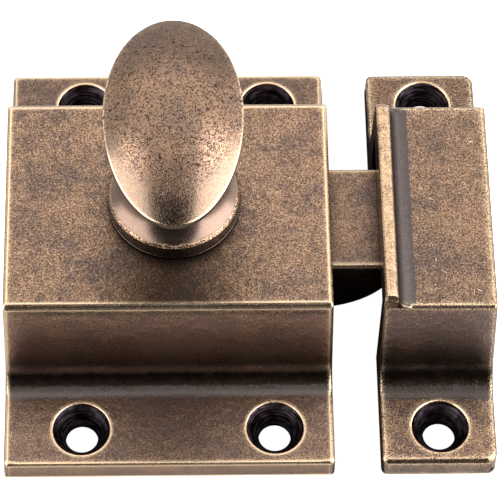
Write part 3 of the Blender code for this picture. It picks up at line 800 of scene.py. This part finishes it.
def make_bolt(skin):
    low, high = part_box("latch_bolt")
    curve = arc((NOSE_CENTRE_X, high.z), high.z - low.z, -90.0, -4.0, 40)
    outline = [(BOLT_BACK_X, low.z)] + curve + [(high.x, high.z), (BOLT_BACK_X, high.z)]
    bolt = prism("latch_bolt_casting", [(x, -BOLT_HALF_WIDTH, z) for x, z in outline],
                 (0.0, 2 * BOLT_HALF_WIDTH, 0.0), skin)

    def nose_edge(edge):
        at_front = max(vert.co.x for vert in edge.verts) > BOLT_BACK_X + MM
        return NOSE_EDGE if is_ridge(edge, 60.0) and at_front else 0.0

    bevel_edges(bolt, nose_edge, 3, 0.35)
    tail = box("tail", (low.x + SEAT_PROUD, TAIL_END_X), (-TAIL_HALF, TAIL_HALF), TAIL_Z, skin)
    bevel_edges(tail, lambda edge: TAIL_EDGE, 2, 0.5)
    combine(tail, box("window", WINDOW_X, (-WINDOW_HALF, WINDOW_HALF), WINDOW_Z, skin), "DIFFERENCE")
    seat = box("seat", (low.x, low.x + SEAT_DEPTH), (-SEAT_HALF, SEAT_HALF), SEAT_Z, skin)
    bevel_edges(seat, lambda edge: SEAT_EDGE, 2, 0.5)
    combine(tail, seat, "UNION")
    combine(bolt, tail, "UNION")
    finish_casting(bolt)
    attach(bolt, BOLT_BODY)
    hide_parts("latch_bolt")


def make_spring(skin):
    """The bolt's compression spring, which on the real latch shortens as the bolt is drawn in; here it is one
    fixed coil.
    """
    low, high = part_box("bolt_spring")
    coil_r = (high.y - low.y) / 2 - WIRE_R
    middle_z = 7.9 * MM
    per_turn = 40
    curve = bpy.data.curves.new("spring_wire", "CURVE")
    curve.dimensions = "3D"
    curve.bevel_depth = WIRE_R
    curve.bevel_resolution = 4
    curve.use_fill_caps = True
    line = curve.splines.new("POLY")
    count = SPRING_TURNS * per_turn
    line.points.add(count)
    first, last = low.x + WIRE_R, high.x - WIRE_R
    for i in range(count + 1):
        angle = 2 * math.pi * i / per_turn
        x = first + (last - first) * (i / count)
        line.points[i].co = (x, coil_r * math.cos(angle), middle_z + coil_r * math.sin(angle), 1.0)
    guide = bpy.data.objects.new("spring_guide", curve)
    bpy.context.scene.collection.objects.link(guide)
    depsgraph = bpy.context.evaluated_depsgraph_get()
    mesh = bpy.data.meshes.new_from_object(guide.evaluated_get(depsgraph))
    bpy.data.objects.remove(guide, do_unlink=True)
    spring = bpy.data.objects.new("bolt_spring_wire", mesh)
    bpy.context.scene.collection.objects.link(spring)
    mesh.materials.clear()
    mesh.materials.append(skin)
    shade_smoothly(spring, 50.0)
    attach(spring, CASE_BODY)
    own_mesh(spring)
    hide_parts("bolt_spring")


def dress_nodes(**materials):
    """Gives the CAD nodes that stay visible their detailed materials."""
    for name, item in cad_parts.items():
        if item.hide_render:
            continue
        key = next((key for key in materials if name.startswith(key)), "steel")
        item.data.materials.clear()
        item.data.materials.append(materials[key])


# Studio


def make_floor():
    """A white sheet, lit from below like a light table, which the metal doesn't mirror."""
    n = matt_sheet("light_table", 0.02, (0.90, 0.90, 0.90), (0.93, 0.93, 0.93))
    n.surface(emission_color=WHITE, emission_strength=1.0)
    bm = bmesh.new()
    bmesh.ops.create_grid(bm, x_segments=1, y_segments=1, size=2.0)
    floor = mesh_object(bm, "floor", n.material)
    floor.location.z = -0.1 * MM
    floor.visible_glossy = False


def make_shade_card():
    """A dark card under the part, which only its reflections show: painted shade for the shaded table seen
    through the holes.
    """
    n = matt_sheet("dark_card", 0.1, (0.02, 0.02, 0.02), (0.03, 0.03, 0.03))
    low, high = cad_bounds
    bm = bmesh.new()
    corners = [(low.x, low.y), (high.x, low.y), (high.x, high.y), (low.x, high.y)]
    bm.faces.new([bm.verts.new((x, y, 0.0)) for x, y in corners])
    card = mesh_object(bm, "card", n.material)
    card.location.z = -0.05 * MM
    card.visible_camera = False


def area_light(name, direction, distance, size, radiance, colour=(1.0, 1.0, 1.0)):
    """A rectangular soft box of the given radiance, seen from the part along the direction."""
    centre = Vector((0.005, 0.0, 0.012))
    data = bpy.data.lights.new(name, "AREA")
    data.shape = "RECTANGLE"
    data.size, data.size_y = size
    data.energy = radiance * math.pi * size[0] * size[1]
    data.color = colour
    item = bpy.data.objects.new(name, data)
    towards = Vector(direction).normalized()
    item.location = centre + towards * distance
    item.rotation_euler = (-towards).to_track_quat("-Z", "Y").to_euler()
    bpy.context.scene.collection.objects.link(item)


def make_world():
    """A room that is bright below the horizon, dim above it and dark above the viewer's side.

    Paler panels stand at the sides and the back, and the camera sees plain white in their place.
    """
    world = bpy.data.worlds.new("studio")
    world.use_nodes = True
    n = Nodes(world.node_tree)
    direction = n.add("ShaderNodeTexCoord").outputs["Generated"]
    x, y, z = n.add("ShaderNodeSeparateXYZ", {0: direction}).outputs
    level = n.spread(z, -0.15, 0.0, 1.05, 0.40)
    viewer_side = n.math("MULTIPLY", n.spread(y, -0.20, -0.36), n.spread(z, -0.25, 0.0))
    level = n.math("MULTIPLY", level, n.spread(viewer_side, 0.0, 1.0, 1.0, 0.05))
    above = n.spread(z, -0.10, 0.05)
    side_panels = n.spread(n.math("ABSOLUTE", x), 0.50, 0.80, 0.0, 0.6)
    right_panel = n.spread(x, 0.50, 0.80)
    back_panel = n.spread(y, 0.30, 0.70, 0.0, 0.5)
    for panel in (side_panels, right_panel, back_panel):
        level = n.math("ADD", level, n.math("MULTIPLY", panel, above))
    seen_directly = n.add("ShaderNodeLightPath").outputs["Is Camera Ray"]
    level = n.add("ShaderNodeMix", {"Factor": seen_directly, "A": level, "B": 1.0}, data_type="FLOAT")
    background = n.tree.nodes["Background"]
    n.put(background.inputs["Color"], WHITE)
    n.put(background.inputs["Strength"], level.outputs["Result"])
    bpy.context.scene.world = world


def make_lights():
    area_light("overhead", (0.0, 0.50, 0.87), 0.60, (0.95, 0.72), 1.15, (1.0, 0.99, 0.97))
    area_light("left_box", (-0.80, -0.25, 0.55), 0.50, (0.52, 0.50), 4.4)
    area_light("right_box", (0.80, -0.22, 0.56), 0.50, (0.60, 0.58), 5.2)
    bpy.context.scene.view_settings.view_transform = "Standard"


def make_camera():
    data = bpy.data.cameras.new("camera")
    data.lens = 217.17
    data.sensor_width = 36.0
    data.clip_start = 0.01
    camera = bpy.data.objects.new("camera", data)
    camera.location = Vector((0.42, -172.89, 295.40)) * MM
    camera.rotation_euler = Euler([math.radians(angle) for angle in (30.825, -0.974, -1.031)])
    bpy.context.scene.collection.objects.link(camera)
    bpy.context.scene.camera = camera


case_skin = antique_bronze(
    "case_bronze", 1, wear=0.45, grain_size=0.15, contrast=1.5, lightness=0.75, ridge_reach=0.6,
    smooth_zones=[
        (((None, None), (13.2, 14.95), (4.1, 14.2)), WALL_PATINA, 0.52, 0.25),
        # painted shade: black bands down the lower wall, darkest just above the cove
        (((None, None), (13.9, 16.0), (2.0, 7.0)), BLACK_PATINA_AND_SHADE, 0.50, 1.5),
        (((None, None), (14.85, 15.95), (2.0, 4.5)), BLACK_PATINA_AND_SHADE, 0.75, 0.10),
        (((None, None), (15.9, 17.3), (2.0, 5.5)), COVE_PATINA, 1.0, 0.08),
        (((None, None), (17.2, 25.0), (2.0, 3.2)), GREY_BROWN, 0.35, 0.30),
        (((None, None), (25.2, None), (None, 3.0)), EDGE_PATINA, 0.6, 0.15)],
    # painted shade on the far flange behind the wall
    painted_shade=[(((None, None), (17.6, None), (2.0, 3.2)), 0.27, 0.4)])
strike_skin = antique_bronze(
    "strike_bronze", 2, wear=0.60, grain_size=0.155, contrast=1.7, lightness=0.69, halo=(0.10, 0.90),
    halo_reach=2.4, ridge_reach=0.6, ridge_wear=0.22, smooth_zones=[
        (((None, None), (13.0, 15.2), (4.0, 14.4)), SLATE_PATINA, 0.58, 0.25),
        # painted shade: black bands down the lower wall, darkest just above the cove
        (((None, None), (13.9, 16.4), (2.0, 8.0)), BLACK_PATINA_AND_SHADE, 0.60, 1.5),
        (((None, None), (14.8, 16.3), (2.0, 6.4)), BLACK_PATINA_AND_SHADE, 0.75, 0.20),
        (((None, None), (16.2, 17.7), (2.0, 5.7)), DARK_COVE_PATINA, 0.9, 0.08),
        (((24.1, 25.95), (None, None), (14.8, None)), DARK_COVE_PATINA, 1.0, 0.05)],
    bare=[((None, 23.9), (None, 12.6), (16.2, None))],
    # painted shade: a black line right of the lip, the lip's near-end facet, and the far flange behind the
    # wall
    painted_shade=[(((23.95, 24.2), (None, None), (14.8, None)), 0.9, 0.06),
              (((22.8, 25.6), (-12.86, -12.62), (14.9, None)), 0.85, 0.03),
              (((None, None), (17.8, None), (2.0, 3.2)), 0.28, 0.4)])
knob_skin = antique_bronze(
    "knob_bronze", 3, wear=0.4, grain_size=0.15, grain_depth=0.012, contrast=0.75, roughness=0.26,
    painted_side_shade=0.9, ridge_reach=0.4, pits=0.8, squiggles=0.8,
    evened=[(((None, None), (None, None), (31.0, None)), DOME_PATINA, 0.45, 0.3)],
    smooth_zones=[(((None, None), (None, None), (18.05, 25.0)), TRUMPET_PATINA, 1.0, 0.05)],
    polished=[(((None, None), (None, -2.5), (31.0, 33.6)), 0.80, 0.6),
              (((None, None), (None, None), (31.0, 32.4)), 0.7, 0.3)])
rim_skin = antique_bronze("worn_rim", 7, wear=0.9, bare=[EVERYWHERE])
bolt_skin = antique_bronze("bolt_bronze", 4, wear=0.35, darkness=0.45, painted_side_shade=0.2)
washer_skin = antique_bronze("washer_bronze", 5, wear=0.1, grain_depth=0.02, darkness=0.96, painted_side_shade=0.8)
inside_skin = antique_bronze("inside_bronze", 6, wear=0.05, grain_size=0.4, grain_depth=0.05, darkness=0.75)
recess_skin = black_recess("countersink_black")
steel_skin = plain_metal("zinc_plate", (0.52, 0.53, 0.52), (0.66, 0.66, 0.63), 0.34, (0.4, 4.0, 4.0))
spring_skin = plain_metal("drawn_wire", (0.40, 0.40, 0.42), (0.55, 0.55, 0.56), 0.28)
brass_skin = plain_metal("plain_brass", (0.66, 0.45, 0.20), (0.80, 0.58, 0.28), 0.32)

make_case(case_skin, rim_skin, recess_skin, inside_skin)
make_strike(strike_skin, rim_skin, recess_skin, inside_skin)
make_knob(knob_skin)
make_washer(washer_skin)
make_bolt(bolt_skin)
make_spring(spring_skin)
dress_nodes(bolt_cam=brass_skin, steel=steel_skin)
make_floor()
make_shade_card()
make_world()
make_lights()
make_camera()
